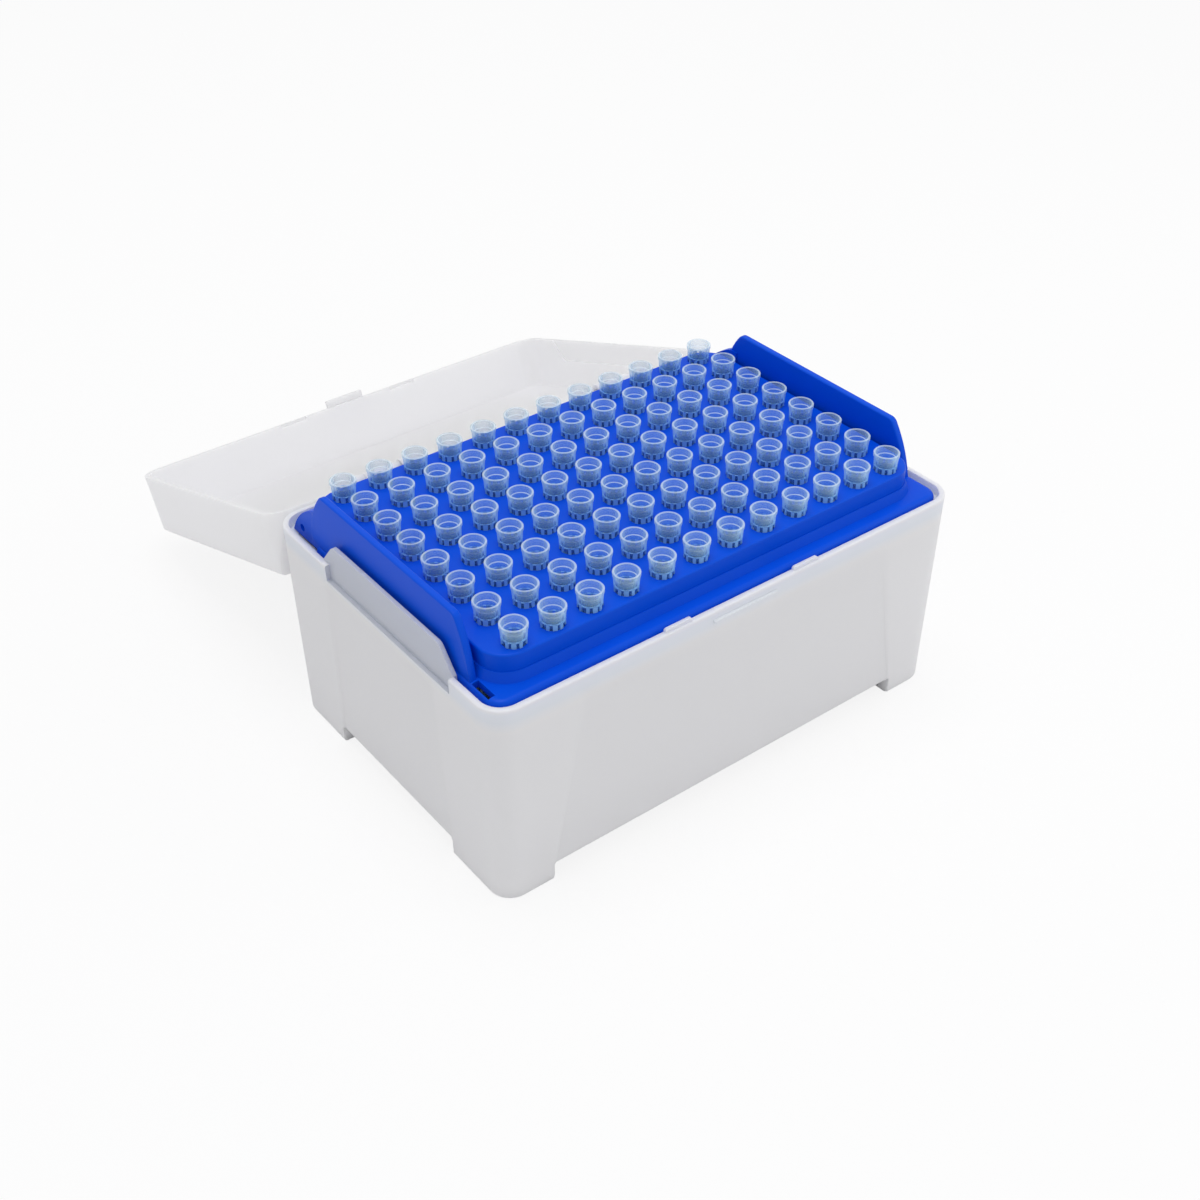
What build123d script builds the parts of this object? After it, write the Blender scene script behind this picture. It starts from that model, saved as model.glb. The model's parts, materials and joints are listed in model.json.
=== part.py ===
from build123d import *
import os

# Box of 96 pipette tips, in millimetres. +Z is up, the feet stand on z = 0, and the origin is the
# centre of the footprint. -Y is the front with the latch, +Y the hinge side, and X runs along the
# twelve columns of tips.

# Frosted tub, whose length and width follow from the tray it carries
BASE_HEIGHT = 51.1           # rim above the table
BASE_CORNER = 6.0            # vertical corner radius at the rim
BASE_DRAFT = 1.0             # degrees, every outer wall
BASE_WALL = 2.0
BASE_LIP = 1.3               # thinner wall above the ledge that carries the tray
BASE_FLOOR = 1.6
LEDGE_DEPTH = 2.3            # ledge below the rim
LEDGE_WIDTH = 1.8            # ledge's inner edge from the lip
LEDGE_BAND = 1.6             # upright inner edge of the ledge
LEDGE_RUN = 1.6              # height of the slope under it
LEDGE_SLOPE = 45.0           # degrees
FOOT_HEIGHT = 4.4
FOOT_RING = 3.0              # thickness of the corner feet
FOOT_ALONG_X = 13.5          # length of each foot from the corner, along X
FOOT_ALONG_Y = 19.5          # length of each foot from the corner, along Y
BASE_BOTTOM_EDGE = 0.8       # rounding under the tub and its feet
BASE_RIM_EDGE = 0.4          # rounding of the rim's outer edge

# Shallow recessed panels in the tub walls, narrower at the top
PANEL_DEPTH = 0.35
PANEL_SETBACK_X = 13.0       # from the tub's corner to the foot of the front and back panels
PANEL_SETBACK_Y = 20.0       # from the tub's corner to the foot of the end panels
PANEL_TOP_GAP = 5.5          # flat band left under the rim
PANEL_LEAN_X = 9.0           # how far a side edge of the front and back panels leans in towards the top
PANEL_LEAN_Y = 2.5           # the same for the end panels

# Raised tabs on the two end walls of the tub, set in so that the lid's end walls pass outside them
TAB_HEIGHT = 5.4
TAB_INSET = 1.1              # tab's outer face inside the tub's end
TAB_THICKNESS = 0.95
TAB_FRONT_SETBACK = 14.9     # from the tub's front to the foot of the tab
TAB_BACK_SETBACK = 20.1      # from the tub's back to the foot of the tab
TAB_SLOPE = 4.5              # how far each sloping edge runs in
TAB_ROUND = 2.0
TAB_ROOT = 0.5               # how far the tab is rooted below the ledge
TAB_RECESS_DROP = 3.7        # the recess outside the tab, below the rim
TAB_RECESS_BACK = 2.5        # back edge of the recess in front of the tab's back foot

# Latch bead and tray catches on the front rim
BEAD_LENGTH = 17.0
BEAD_PROUD = 0.45
BEAD_HEIGHT = 0.9
BEAD_DROP = 2.4              # bead centre below the rim
CATCH_LENGTH = 6.8
CATCH_CENTRE_X = 17.1
CATCH_HEIGHT = 0.8
CATCH_THICKNESS = 0.8
CATCH_ROUND = 0.5

# Blue tray
TRAY_FIT = 1.0               # gap between the flange and the tub's lip
TRAY_SHELL = 1.6
FLANGE_RISE = LEDGE_DEPTH    # the flange lies flush with the rim
FLANGE_SHOULDER = 1.5        # rounding of the flange's outer edge
DECK_MARGIN_X = 6.7          # deck beyond the centres of the outer tips
DECK_MARGIN_Y = 3.7
DECK_CORNER = 6.5
FLANGE_BAND_X = 3.5          # flange from the deck's skirt to its outer edge
FLANGE_BAND_Y = 4.5
DECK_RISE = 6.0              # deck above the flange
PLINTH_RISE = 2.1            # sloping foot of the deck's skirt
PLINTH_FOOT = 1.1            # how far the plinth stands out at the flange
PLINTH_SLOPE = 22.0          # degrees
DECK_EDGE = 0.5
DECK_ROOT = 0.5              # how far the deck is rooted in the flange
HOLE_DIAMETER = 5.0

# End walls of the tray
CHEEK_THICKNESS = 1.6
CHEEK_GAP = 1.3              # between the deck's skirt and the wall
CHEEK_LEAN = 2.0             # degrees inward
CHEEK_RISE = 6.8             # top above the deck
CHEEK_FRONT_SETBACK = 9.1    # foot of the wall behind the flange's front edge
CHEEK_FRONT_SLOPE = 5.6      # how far the front edge leans back
CHEEK_FRONT_BULGE = 1.0      # how far the front edge bows outward
CHEEK_BACK_SLOPE = 5.0       # how far the back edge leans forward
CHEEK_BACK_BULGE = 1.7       # how far the back edge bows outward
CHEEK_ROUND = 2.0
CHEEK_EDGE = 0.4
CHEEK_ROOT = 1.0             # foot of the wall above the ledge, inside the flange

# Ears behind the end walls and the keyed slot in front of the left one
EAR_THICKNESS = 1.8
EAR_SETBACK = 0.5            # ear's inner face inside that of the end wall
EAR_LENGTH = 8.7             # from the foot of the end wall to the ear's tip
EAR_TIP_GAP = 1.0            # ear's tip inside the flange's back edge
EAR_OVERLAP = 4.0            # how far the ear runs into the end wall
EAR_FOOT_GAP = 0.2           # ear's underside above the ledge
EAR_TOP_RISE = 1.7           # ear's top above the deck
EAR_TOP_FLAT = 2.4           # flat length at the top
EAR_BOW_Y = 5.4              # point the rounded back edge passes through, behind the end wall's foot
EAR_BOW_Z = 4.9              # the same point above the ear's underside
EAR_HOLE = 1.8
EAR_HOLE_SETBACK = 4.4       # hole centre in front of the tip
EAR_HOLE_RISE = 2.5          # hole centre above the ear's underside
EAR_NOTCH_SIDE = 0.6         # free space in the flange beside the ear
EAR_NOTCH_START = 3.0        # notch's front edge in front of the end wall's back foot
KEY_SLOT_WIDTH = 1.5
KEY_SLOT_LENGTH = 5.6
KEY_SLOT_GAP = 0.2           # between the slot and the foot of the end wall
KEY_SLOT_FLOOR = 0.3         # material left above the ledge

# Tips
PITCH = 9.0
COLUMNS = 12
ROWS = 8
TIP_LENGTH = 50.5
TIP_COLLAR_HEIGHT = 4.4      # the part that stands above the deck
TIP_BEAD_HEIGHT = 1.1
TIP_BEAD_RADIUS = 2.88
TIP_COLLAR_RADIUS = 2.62
TIP_BODY_RADIUS = 2.2
TIP_WAIST_RADIUS = 1.75
TIP_WAIST_DEPTH = 21.0       # where the steeper cone starts, below the rim
TIP_END_RADIUS = 0.5
TIP_BORE_END_RADIUS = 0.25
TIP_WALL = 0.45

# Frosted lid, drawn shut and then swung back
LID_HEIGHT = 15.2
LID_WALL = 1.3
LID_DRAFT = 2.0
LID_EDGE = 1.2               # rounding around the lid's top
LID_INNER_EDGE = 0.6
LID_SEAT_GAP = 0.2           # shut lid above the rim
LID_BACK_LEAN = 20.0         # the back wall leans forward, so the open lid lies against the tub
LID_TAB_GAP = 0.5            # clearance around the outline of the tub's raised tabs and catches
LID_TAB_SIDE_GAP = 0.15      # clearance between a tab and the lid's thinned end wall
LID_OPEN_ANGLE = 200.0
LATCH_WIDTH = 11.0
LATCH_DROP = 1.6             # below the lid's rim
LATCH_RISE = 4.0             # above the lid's rim
LATCH_WEB_RISE = 1.0         # where the latch joins the front wall, above the lid's rim
LATCH_THICKNESS = 1.0
LATCH_GAP = 0.3              # latch to bead

# Hinge
HINGE_OUTSET = 0.6           # axis behind the tub's back face
HINGE_SETBACK_X = 28.0       # middle of each hinge from the tub's end
BARREL_LENGTH = 9.0
BARREL_RADIUS = 1.7
EYE_LENGTH = 2.5
EYE_RADIUS = 1.9
HINGE_SIDE_GAP = 0.3
HINGE_CLEARANCE = 0.3
PIN_RADIUS = 0.9
PIN_FIT = 0.05               # radial running fit
PIN_REACH = 2.0
BACK_FACE_GAP = 0.2          # lid's back face in front of the hinge axis

REACH = 400.0                # larger than the whole box, for cutting tools
OVERCUT = 1.0                # how far a cutting tool starts outside what it cuts

# Levels and faces worked out from the sizes above
DECK_LENGTH = (COLUMNS - 1) * PITCH + 2 * DECK_MARGIN_X
DECK_WIDTH = (ROWS - 1) * PITCH + 2 * DECK_MARGIN_Y
FLANGE_LENGTH = DECK_LENGTH + 2 * FLANGE_BAND_X
FLANGE_WIDTH = DECK_WIDTH + 2 * FLANGE_BAND_Y
BASE_LENGTH = FLANGE_LENGTH + 2 * (BASE_LIP + TRAY_FIT)
BASE_WIDTH = FLANGE_WIDTH + 2 * (BASE_LIP + TRAY_FIT)
CHEEK_INNER_X = DECK_LENGTH / 2 + CHEEK_GAP
CHEEK_FOOT_FRONT = -FLANGE_WIDTH / 2 + CHEEK_FRONT_SETBACK
CHEEK_TOP_FRONT = CHEEK_FOOT_FRONT + CHEEK_FRONT_SLOPE
CHEEK_FOOT_BACK = FLANGE_WIDTH / 2 - EAR_TIP_GAP - EAR_LENGTH
CHEEK_TOP_BACK = CHEEK_FOOT_BACK - CHEEK_BACK_SLOPE
EAR_INNER_X = CHEEK_INNER_X - EAR_SETBACK
HINGE_CENTRE_X = BASE_LENGTH / 2 - HINGE_SETBACK_X
TAB_OUTER_X = BASE_LENGTH / 2 - TAB_INSET
TAB_INNER_X = TAB_OUTER_X - TAB_THICKNESS
TAB_FRONT_Y = -BASE_WIDTH / 2 + TAB_FRONT_SETBACK
TAB_BACK_Y = BASE_WIDTH / 2 - TAB_BACK_SETBACK
LEDGE_Z = BASE_HEIGHT - LEDGE_DEPTH
FLANGE_Z = LEDGE_Z + FLANGE_RISE
DECK_Z = FLANGE_Z + DECK_RISE
TIP_RIM_Z = DECK_Z + TIP_COLLAR_HEIGHT
FLOOR_Z = FOOT_HEIGHT + BASE_FLOOR
LID_RIM_Z = BASE_HEIGHT + LID_SEAT_GAP
HINGE_Y = BASE_WIDTH / 2 + HINGE_OUTSET
HINGE_Z = BASE_HEIGHT + LID_SEAT_GAP / 2
FRONT_Y = -BASE_WIDTH / 2
FLANGE_CORNER = BASE_CORNER - BASE_LIP - TRAY_FIT
CATCH_BACK_Y = FRONT_Y + BASE_LIP
ALL = (-REACH, REACH)


def slab(length, width, radius, z, height, draft=0.0):
    """A block with rounded corners from z up, or down for a negative height, drafted to its far end."""
    return extrude(Pos(0, 0, z) * RectangleRounded(length, width, radius), amount=height, taper=draft)


def side_prism(outline, x_from, x_to):
    """A prism along X from a closed outline drawn at x = 0."""
    return Pos(x_from, 0, 0) * extrude(make_face(outline), amount=x_to - x_from, dir=(1, 0, 0))


def yz(*points):
    """A closed outline in the YZ plane."""
    return Polyline(*[(0, y, z) for y, z in points], close=True)


def block(x, y, z):
    """A box given as three (low, high) pairs."""
    centre = [(low + high) / 2 for low, high in (x, y, z)]
    return Pos(*centre) * Box(x[1] - x[0], y[1] - y[0], z[1] - z[0])


def rod(x_centre, length, radius):
    """A round bar along X on the hinge axis."""
    return Pos(x_centre, HINGE_Y, HINGE_Z) * Rot(0, 90, 0) * Cylinder(radius, length)


def ends(shape):
    """The shape and its mirror image at the other end of the box."""
    return shape + mirror(shape, about=Plane.YZ)


def tub_block(inset):
    """The tub's drafted outside, or a copy of it set in on every side."""
    body = slab(BASE_LENGTH - 2 * inset, BASE_WIDTH - 2 * inset, BASE_CORNER - inset,
                BASE_HEIGHT, -BASE_HEIGHT, BASE_DRAFT)
    return fillet(body.faces().sort_by(Axis.Z)[0].edges(), BASE_BOTTOM_EDGE)


def tab_prism(gap, x_from, x_to):
    """The outline of a raised end tab, grown by gap, as a prism along X from just under the ledge."""
    foot = LEDGE_Z - TAB_ROOT
    front_foot = TAB_FRONT_Y - gap
    back_foot = TAB_BACK_Y + gap
    front_top = front_foot + TAB_SLOPE
    back_top = back_foot - TAB_SLOPE
    top = BASE_HEIGHT + TAB_HEIGHT + gap
    prism = side_prism(
        yz((front_foot, foot), (front_foot, BASE_HEIGHT), (front_top, top), (back_top, top),
           (back_foot, BASE_HEIGHT), (back_foot, foot)),
        x_from, x_to,
    )
    corners = prism.edges().filter_by(Axis.X).group_by(Axis.Z)[-1]
    return fillet(corners, TAB_ROUND + gap)


def panel_cut(half_length, lean, along):
    """The thin skin removed from the tub's walls over one pair of opposite panels."""
    top = BASE_HEIGHT - PANEL_TOP_GAP
    half_top = half_length - lean
    outline = ((-half_length, -OVERCUT), (half_length, -OVERCUT), (half_top, top), (-half_top, top))
    if along == "x":
        face = make_face(Polyline(*[(a, -REACH / 2, z) for a, z in outline], close=True))
        prism = extrude(face, amount=REACH, dir=(0, 1, 0))
    else:
        prism = side_prism(yz(*outline), -REACH / 2, REACH / 2)
    return (prism & tub_block(0)) - tub_block(PANEL_DEPTH)


def ledge():
    """The inner ledge that carries the tray: a block with its opening, its underside sloping back."""
    inset = BASE_LIP + LEDGE_WIDTH
    length = BASE_LENGTH - 2 * inset
    width = BASE_WIDTH - 2 * inset
    corner = BASE_CORNER - inset
    band_z = LEDGE_Z - LEDGE_BAND
    opening = slab(length, width, corner, band_z, LEDGE_BAND)
    slope = extrude(
        Pos(0, 0, band_z) * RectangleRounded(length, width, corner),
        amount=-LEDGE_RUN, taper=-LEDGE_SLOPE,
    )
    return block(ALL, ALL, (band_z - LEDGE_RUN, LEDGE_Z)) - opening - slope


def make_base():
    """The frosted tub with its feet, end tabs, latch bead, tray catches and hinge eyes."""
    foot_x = BASE_LENGTH / 2 - FOOT_ALONG_X
    foot_y = BASE_WIDTH / 2 - FOOT_ALONG_Y
    tub = tub_block(0)
    tub -= panel_cut(BASE_LENGTH / 2 - PANEL_SETBACK_X, PANEL_LEAN_X, "x")
    tub -= panel_cut(BASE_WIDTH / 2 - PANEL_SETBACK_Y, PANEL_LEAN_Y, "y")
    tub = fillet(tub.faces().sort_by(Axis.Z)[-1].edges(), BASE_RIM_EDGE)

    cavity = tub_block(BASE_WALL) & block(ALL, ALL, (FLOOR_Z, LEDGE_Z))
    tub -= cavity - ledge()
    tub -= slab(
        BASE_LENGTH - 2 * BASE_LIP, BASE_WIDTH - 2 * BASE_LIP, BASE_CORNER - BASE_LIP,
        LEDGE_Z, LEDGE_DEPTH,
    )

    low = (-OVERCUT, FOOT_HEIGHT)
    tub -= block((-foot_x, foot_x), ALL, low)
    tub -= block(ALL, (-foot_y, foot_y), low)
    tub -= tub_block(FOOT_RING) & block(ALL, ALL, low)

    tub -= ends(block(
        (TAB_OUTER_X, REACH),
        (TAB_FRONT_Y, TAB_BACK_Y - TAB_RECESS_BACK),
        (BASE_HEIGHT - TAB_RECESS_DROP, BASE_HEIGHT + OVERCUT),
    ))
    tub += ends(tab_prism(0, TAB_INNER_X, TAB_OUTER_X))

    bead_z = BASE_HEIGHT - BEAD_DROP
    bead = Pos(0, FRONT_Y, bead_z) * Rot(0, 90, 0) * Cylinder(BEAD_HEIGHT / 2, BEAD_LENGTH)
    tub += bead & block(ALL, (FRONT_Y - BEAD_PROUD, FRONT_Y + BASE_LIP / 2), (0, BASE_HEIGHT))

    catch = Pos(CATCH_CENTRE_X, CATCH_BACK_Y - CATCH_THICKNESS / 2, BASE_HEIGHT) * Box(
        CATCH_LENGTH, CATCH_THICKNESS, 2 * CATCH_HEIGHT)
    catch = fillet(catch.edges().filter_by(Axis.Y).group_by(Axis.Z)[-1], CATCH_ROUND)
    tub += ends(catch)

    eye_x = HINGE_CENTRE_X + BARREL_LENGTH / 2 + HINGE_SIDE_GAP + EYE_LENGTH / 2
    inner_eye_x = HINGE_CENTRE_X - BARREL_LENGTH / 2 - HINGE_SIDE_GAP - EYE_LENGTH / 2
    room = rod(HINGE_CENTRE_X, BARREL_LENGTH + 2 * HINGE_SIDE_GAP, BARREL_RADIUS + HINGE_CLEARANCE)
    tub -= ends(room)
    for x in (inner_eye_x, eye_x):
        tub += ends(rod(x, EYE_LENGTH, EYE_RADIUS))
    pin_room = rod(HINGE_CENTRE_X, BARREL_LENGTH + 2 * (HINGE_SIDE_GAP + EYE_LENGTH), PIN_RADIUS + PIN_FIT)
    return tub - ends(pin_room)


def cheek():
    """The tray's end wall at +X: bowed front and back edges, rounded top corners, leaning slightly in."""
    foot = LEDGE_Z + CHEEK_ROOT
    top = DECK_Z + CHEEK_RISE
    middle = (foot + top) / 2
    front_middle = (CHEEK_FOOT_FRONT + CHEEK_TOP_FRONT) / 2 - CHEEK_FRONT_BULGE
    back_middle = (CHEEK_FOOT_BACK + CHEEK_TOP_BACK) / 2 + CHEEK_BACK_BULGE
    outline = (
        Line((0, CHEEK_FOOT_FRONT, foot), (0, CHEEK_FOOT_BACK, foot))
        + ThreePointArc((0, CHEEK_FOOT_BACK, foot), (0, back_middle, middle), (0, CHEEK_TOP_BACK, top))
        + Line((0, CHEEK_TOP_BACK, top), (0, CHEEK_TOP_FRONT, top))
        + ThreePointArc((0, CHEEK_TOP_FRONT, top), (0, front_middle, middle), (0, CHEEK_FOOT_FRONT, foot))
    )
    wall = side_prism(outline, CHEEK_INNER_X, CHEEK_INNER_X + CHEEK_THICKNESS)
    wall = fillet(wall.edges().filter_by(Axis.X).group_by(Axis.Z)[-1], CHEEK_ROUND)
    face_edges = wall.edges() - wall.edges().filter_by(Axis.X)
    wall = fillet([edge for edge in face_edges if edge.center().Z > foot + CHEEK_EDGE], CHEEK_EDGE)
    pivot = Pos(CHEEK_INNER_X, 0, FLANGE_Z)
    return pivot * Rot(0, -CHEEK_LEAN, 0) * pivot.inverse() * wall


def ear():
    """The holed ear behind the end wall at +X, its back edge rounding down into the tub."""
    root_y = CHEEK_FOOT_BACK - EAR_OVERLAP
    tip_y = CHEEK_FOOT_BACK + EAR_LENGTH
    top = DECK_Z + EAR_TOP_RISE
    low = LEDGE_Z + EAR_FOOT_GAP
    shoulder_y = root_y + EAR_TOP_FLAT
    bow = (0, CHEEK_FOOT_BACK + EAR_BOW_Y, low + EAR_BOW_Z)
    outline = (
        Line((0, root_y, low), (0, tip_y, low))
        + ThreePointArc((0, tip_y, low), bow, (0, shoulder_y, top))
        + Line((0, shoulder_y, top), (0, root_y, top))
        + Line((0, root_y, top), (0, root_y, low))
    )
    plate = side_prism(outline, EAR_INNER_X, EAR_INNER_X + EAR_THICKNESS)
    centre = Pos(EAR_INNER_X, tip_y - EAR_HOLE_SETBACK, low + EAR_HOLE_RISE)
    return plate - centre * Rot(0, 90, 0) * Cylinder(EAR_HOLE / 2, 2 * (EAR_THICKNESS + OVERCUT))


def make_tray():
    """The blue tray: deck with tip holes, skirt, flange, end walls, rear ears and the keyed slot."""
    flange = slab(FLANGE_LENGTH, FLANGE_WIDTH, FLANGE_CORNER, LEDGE_Z, FLANGE_RISE)
    flange = fillet(flange.faces().sort_by(Axis.Z)[-1].edges(), FLANGE_SHOULDER)
    deck = slab(DECK_LENGTH, DECK_WIDTH, DECK_CORNER, FLANGE_Z - DECK_ROOT, DECK_RISE + DECK_ROOT)
    deck = fillet(deck.faces().sort_by(Axis.Z)[-1].edges(), DECK_EDGE)
    plinth = slab(
        DECK_LENGTH + 2 * PLINTH_FOOT, DECK_WIDTH + 2 * PLINTH_FOOT, DECK_CORNER + PLINTH_FOOT,
        FLANGE_Z, PLINTH_RISE, PLINTH_SLOPE,
    )
    tray = flange + plinth + deck

    notch_x = EAR_INNER_X - EAR_NOTCH_SIDE
    notch_y = CHEEK_FOOT_BACK - EAR_NOTCH_START
    above = (LEDGE_Z - OVERCUT, REACH)
    tray -= ends(block((notch_x, REACH), (notch_y, REACH), above))
    tray += ends(cheek())

    start_z = LEDGE_Z - OVERCUT
    under_flange = slab(
        FLANGE_LENGTH - 2 * TRAY_SHELL, FLANGE_WIDTH - 2 * TRAY_SHELL, FLANGE_CORNER - TRAY_SHELL,
        start_z, FLANGE_Z - TRAY_SHELL - start_z,
    )
    under_deck = slab(
        DECK_LENGTH - 2 * TRAY_SHELL, DECK_WIDTH - 2 * TRAY_SHELL, DECK_CORNER - TRAY_SHELL,
        start_z, DECK_Z - TRAY_SHELL - start_z,
    )
    notch_wall = ends(block((notch_x - TRAY_SHELL, REACH), (notch_y - TRAY_SHELL, REACH), (0, REACH)))
    tray -= (under_flange + under_deck) - notch_wall
    tray += ends(ear())

    spots = GridLocations(PITCH, PITCH, COLUMNS, ROWS)
    holes = Sketch() + [spot * Circle(HOLE_DIAMETER / 2) for spot in spots]
    tray -= extrude(Pos(0, 0, FLANGE_Z) * holes, amount=DECK_RISE + OVERCUT)

    slot_back = CHEEK_FOOT_FRONT - KEY_SLOT_GAP
    slot_x = -(CHEEK_INNER_X + CHEEK_THICKNESS / 2)
    return tray - block(
        (slot_x - KEY_SLOT_WIDTH / 2, slot_x + KEY_SLOT_WIDTH / 2),
        (slot_back - KEY_SLOT_LENGTH, slot_back),
        (LEDGE_Z + KEY_SLOT_FLOOR, REACH),
    )


def make_tip():
    """One tip, hollow from end to end, its rim at z = 0."""
    neck_z = -TIP_COLLAR_HEIGHT
    outline = Polyline(
        (TIP_BEAD_RADIUS - TIP_WALL, 0, 0),
        (TIP_BEAD_RADIUS, 0, 0),
        (TIP_BEAD_RADIUS, 0, -TIP_BEAD_HEIGHT),
        (TIP_COLLAR_RADIUS, 0, -TIP_BEAD_HEIGHT),
        (TIP_COLLAR_RADIUS, 0, neck_z),
        (TIP_BODY_RADIUS, 0, neck_z),
        (TIP_WAIST_RADIUS, 0, -TIP_WAIST_DEPTH),
        (TIP_END_RADIUS, 0, -TIP_LENGTH),
        (TIP_BORE_END_RADIUS, 0, -TIP_LENGTH),
        (TIP_WAIST_RADIUS - TIP_WALL, 0, -TIP_WAIST_DEPTH),
        (TIP_BODY_RADIUS - TIP_WALL, 0, neck_z),
        close=True,
    )
    return revolve(make_face(outline), axis=Axis.Z)


def lid_block(inset, height, edge):
    """The shut lid's outside up to a height with a rounded top edge, or a copy set in on every side."""
    body = slab(
        BASE_LENGTH - 2 * inset, BASE_WIDTH - 2 * inset, BASE_CORNER - inset,
        LID_RIM_Z, height, LID_DRAFT,
    )
    back_face = Pos(0, HINGE_Y - BACK_FACE_GAP, HINGE_Z) * Rot(LID_BACK_LEAN, 0, 0)
    body = fillet(body.faces().sort_by(Axis.Z)[-1].edges(), edge)
    return body & (back_face * block(ALL, (-REACH, -inset), ALL))


def hinge_station(x_centre):
    """The lid's barrel with its two pins."""
    barrel = rod(x_centre, BARREL_LENGTH, BARREL_RADIUS)
    pins = rod(x_centre, BARREL_LENGTH + 2 * PIN_REACH, PIN_RADIUS)
    return barrel + pins


def make_lid():
    """The shut lid: drafted shell with a sloping back, thinned ends, latch and hinge barrels with pins."""
    lid = lid_block(0, LID_HEIGHT, LID_EDGE) - lid_block(LID_WALL, LID_HEIGHT - LID_WALL, LID_INNER_EDGE)

    lid -= ends(tab_prism(LID_TAB_GAP, TAB_INNER_X - LID_TAB_GAP, TAB_OUTER_X + LID_TAB_SIDE_GAP))

    catch_room = block(
        (CATCH_CENTRE_X - CATCH_LENGTH / 2 - LID_TAB_GAP, CATCH_CENTRE_X + CATCH_LENGTH / 2 + LID_TAB_GAP),
        (CATCH_BACK_Y - CATCH_THICKNESS - LID_SEAT_GAP, CATCH_BACK_Y + LID_WALL),
        (BASE_HEIGHT, BASE_HEIGHT + CATCH_HEIGHT + LID_SEAT_GAP),
    )
    lid -= ends(catch_room)

    latch_back = FRONT_Y - BEAD_PROUD - LATCH_GAP
    latch = block(
        (-LATCH_WIDTH / 2, LATCH_WIDTH / 2),
        (latch_back - LATCH_THICKNESS, latch_back),
        (LID_RIM_Z - LATCH_DROP, LID_RIM_Z + LATCH_RISE),
    )
    latch += block(
        (-LATCH_WIDTH / 2, LATCH_WIDTH / 2),
        (latch_back - LATCH_THICKNESS, FRONT_Y + LID_WALL / 2),
        (LID_RIM_Z + LATCH_WEB_RISE, LID_RIM_Z + LATCH_RISE),
    )
    lid += latch

    station_length = BARREL_LENGTH + 2 * (EYE_LENGTH + 2 * HINGE_SIDE_GAP)
    for x in (-HINGE_CENTRE_X, HINGE_CENTRE_X):
        eye_room = rod(x, station_length, EYE_RADIUS + HINGE_CLEARANCE)
        kept = rod(x, BARREL_LENGTH, EYE_RADIUS + 2 * HINGE_CLEARANCE)
        lid -= eye_room - kept
        lid += hinge_station(x)
    return lid


def write(shape, name):
    """Writes one node's STEP file."""
    export_step(shape, f"parts/{name}.step")


if __name__ == "__main__":
    os.makedirs("parts", exist_ok=True)
    hinge_axis = Axis((0, HINGE_Y, HINGE_Z), (1, 0, 0))
    write(make_base(), "base")
    write(make_tray(), "tray")
    write(make_lid().rotate(hinge_axis, -LID_OPEN_ANGLE), "lid")
    tip = make_tip()
    for column in range(COLUMNS):
        x = (column - (COLUMNS - 1) / 2) * PITCH
        tips = [Pos(x, (row - (ROWS - 1) / 2) * PITCH, TIP_RIM_Z) * tip for row in range(ROWS)]
        write(Compound(children=tips), f"tips_column_{column + 1:02d}")
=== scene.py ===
import json
import logging
import math
from dataclasses import dataclass, field, replace
from enum import Enum
from typing import Callable, Sequence

import bmesh
import bpy
from mathutils import Matrix, Vector

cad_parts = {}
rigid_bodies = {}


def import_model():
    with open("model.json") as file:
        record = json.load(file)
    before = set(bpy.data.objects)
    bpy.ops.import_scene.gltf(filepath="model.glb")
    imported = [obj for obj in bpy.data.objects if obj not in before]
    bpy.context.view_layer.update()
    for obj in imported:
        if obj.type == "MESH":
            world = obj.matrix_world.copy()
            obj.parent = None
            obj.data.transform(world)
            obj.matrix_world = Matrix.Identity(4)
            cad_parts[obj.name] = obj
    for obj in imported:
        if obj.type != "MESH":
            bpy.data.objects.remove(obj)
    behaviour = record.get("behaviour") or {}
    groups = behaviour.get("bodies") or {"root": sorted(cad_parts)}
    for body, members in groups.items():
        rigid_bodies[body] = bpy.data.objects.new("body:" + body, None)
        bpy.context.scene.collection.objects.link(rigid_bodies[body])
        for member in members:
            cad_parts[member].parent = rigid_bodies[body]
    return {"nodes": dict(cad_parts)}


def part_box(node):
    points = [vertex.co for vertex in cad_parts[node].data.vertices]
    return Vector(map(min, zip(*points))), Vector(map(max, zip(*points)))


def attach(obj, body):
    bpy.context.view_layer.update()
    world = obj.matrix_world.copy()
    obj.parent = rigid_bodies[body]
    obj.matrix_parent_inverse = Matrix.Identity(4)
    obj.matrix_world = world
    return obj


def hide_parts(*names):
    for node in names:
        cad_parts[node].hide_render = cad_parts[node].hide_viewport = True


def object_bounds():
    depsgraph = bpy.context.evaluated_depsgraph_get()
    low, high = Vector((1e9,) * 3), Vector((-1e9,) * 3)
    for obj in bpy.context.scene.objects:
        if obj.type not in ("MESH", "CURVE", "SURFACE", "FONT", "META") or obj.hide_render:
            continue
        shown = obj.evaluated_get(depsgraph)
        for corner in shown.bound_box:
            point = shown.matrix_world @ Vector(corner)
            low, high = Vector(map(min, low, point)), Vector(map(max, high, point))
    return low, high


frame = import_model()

CAD_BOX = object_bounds()
MM = 0.001
NEAR = 0.01 * MM  # points closer than this lie in the same place
STEEP = 0.9  # share of a normal along an axis above which the face looks that way
LOG = logging.getLogger("tip_box")

Colour = tuple[float, float, float]
Point = tuple[float, float, float]
Ring = tuple[float, float]


class Body(Enum):
    """The rigid bodies that a piece can ride on."""

    BOX = "box"
    LID = "lid"


class Slot(Enum):
    """The material slots of the record."""

    TUB = "tub"
    LID = "lid"
    TRAY = "tray"
    TIPS = "tips"


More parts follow.
